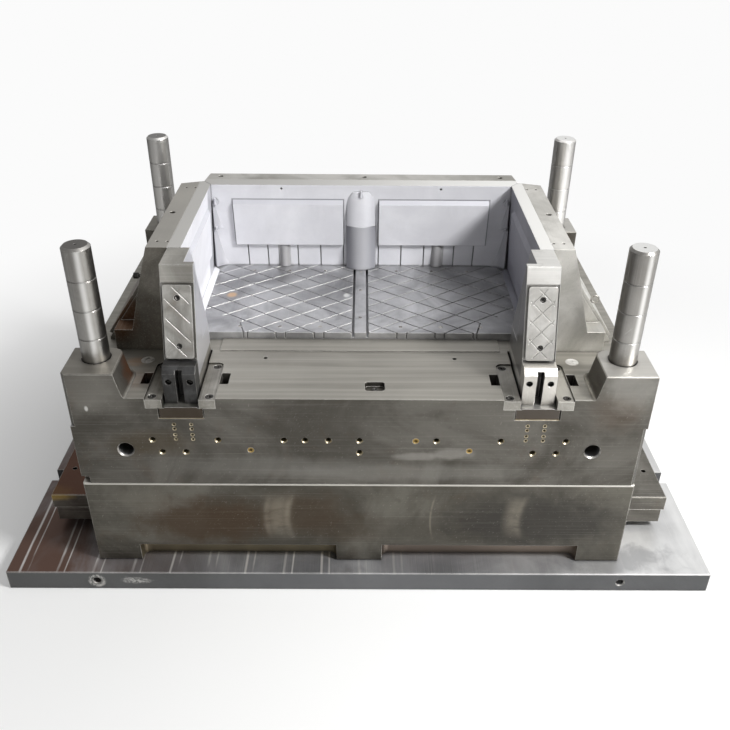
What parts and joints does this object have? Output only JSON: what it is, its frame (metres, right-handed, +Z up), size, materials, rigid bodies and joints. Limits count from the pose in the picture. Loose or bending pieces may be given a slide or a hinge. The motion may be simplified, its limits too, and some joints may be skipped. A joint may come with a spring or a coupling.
{
  "type": "injection mould half",
  "caption": "Ejector half of an injection mould: clamp plate, spacer rails, ejector plates, core plate with guide pillars, wall slides and corner slides round an open-fronted moulding space.",
  "frame": {"origin": "middle of the clamp plate's underside, which is the base of the whole half", "axes": "+X along the clamp plate's long edge, to the right as seen from the side with the two corner slides; +Y from that side to the rear wall slide; +Z up, the direction in which the mould opens"},
  "size_m": [1.7, 1, 0.855],
  "materials": {
    "clamp_plate_steel": "milled, rusted on the left",
    "frame_steel": "ground, dark with oil film",
    "core_steel": "ground, dark with oil film",
    "pillar_steel": "ground and polished",
    "floor_steel": "fine ground",
    "cavity_steel": "polished",
    "slide_steel": "milled and ground",
    "wear_steel": "ground, hardened",
    "wear_bronze": "bronze with graphite plugs",
    "blackened_steel": "blackened",
    "screw_steel": "black oxide",
    "pin_steel": "ground",
    "brass_fitting": "turned"
  },
  "bodies": {
    "base": {"base_clamp_plate": "clamp_plate_steel", "front_spacer_rail": "frame_steel", "rear_spacer_rail": "frame_steel", "core_plate": "core_steel", "corner_towers": "core_steel", "guide_pillar_front_left": "pillar_steel", "guide_pillar_front_right": "pillar_steel", "guide_pillar_rear_left": "pillar_steel", "guide_pillar_rear_right": "pillar_steel", "floor_insert_left": "floor_steel", "floor_insert_right": "floor_steel", "floor_centre_bar": "floor_steel", "right_outer_gib": "wear_steel", "right_inner_gib": "wear_steel", "left_outer_gib": "wear_steel", "left_inner_gib": "wear_steel", "gib_screws": "screw_steel", "support_pillars": "pin_steel", "stop_buttons": "wear_steel", "ejector_guide_pins": "pin_steel", "clamp_screws": "screw_steel", "water_plugs": "brass_fitting", "pocket_screw": "screw_steel", "left_slide_rails": "wear_steel", "right_slide_rails": "wear_steel", "rear_slide_rails": "wear_steel", "slide_rail_screws": "screw_steel", "slide_wear_strips": "wear_bronze"},
    "ejector": {"ejector_retainer_plate": "frame_steel", "ejector_base_plate": "frame_steel", "ejector_pins": "pin_steel", "return_pins": "pin_steel", "ejector_guide_bushes": "wear_bronze", "ejector_plate_screws": "screw_steel"},
    "right_wall_slide": {"right_slide_block": "slide_steel", "right_cavity_insert": "cavity_steel", "right_heel_plate": "wear_steel", "right_heel_screws": "screw_steel", "right_eye_ring": "screw_steel"},
    "left_wall_slide": {"left_slide_block": "slide_steel", "left_cavity_insert": "cavity_steel", "left_heel_plate": "wear_steel", "left_heel_screws": "screw_steel", "left_hose_knob": "brass_fitting"},
    "rear_wall_slide": {"rear_slide_block": "slide_steel", "rear_cavity_insert": "cavity_steel", "rear_heel_plate": "wear_steel", "rear_heel_screws": "screw_steel"},
    "right_corner": {"right_corner_slide": "slide_steel", "right_corner_plate": "wear_steel", "right_coupling_block": "slide_steel", "right_corner_screws": "screw_steel"},
    "left_corner": {"left_corner_slide": "slide_steel", "left_corner_plate": "wear_steel", "left_coupling_block": "blackened_steel", "left_corner_screws": "screw_steel"}
  },
  "joints": [
    {"name": "ejector_stroke", "type": "slide", "parent": "base", "child": "ejector", "axis": [0, 0, 1], "range_m": [0, 0.12]},
    {"name": "left_wall_travel", "type": "slide", "parent": "base", "child": "left_wall_slide", "axis": [-1, 0, 0], "range_m": [0, 0.04]},
    {"name": "right_wall_travel", "type": "slide", "parent": "base", "child": "right_wall_slide", "axis": [1, 0, 0], "range_m": [0, 0.04]},
    {"name": "rear_wall_travel", "type": "slide", "parent": "base", "child": "rear_wall_slide", "axis": [0, 1, 0], "range_m": [0, 0.04]},
    {"name": "left_corner_travel", "type": "slide", "parent": "base", "child": "left_corner", "axis": [0, -1, 0], "range_m": [0, 0.06]},
    {"name": "right_corner_travel", "type": "slide", "parent": "base", "child": "right_corner", "axis": [0, -1, 0], "range_m": [0, 0.06]}
  ]
}
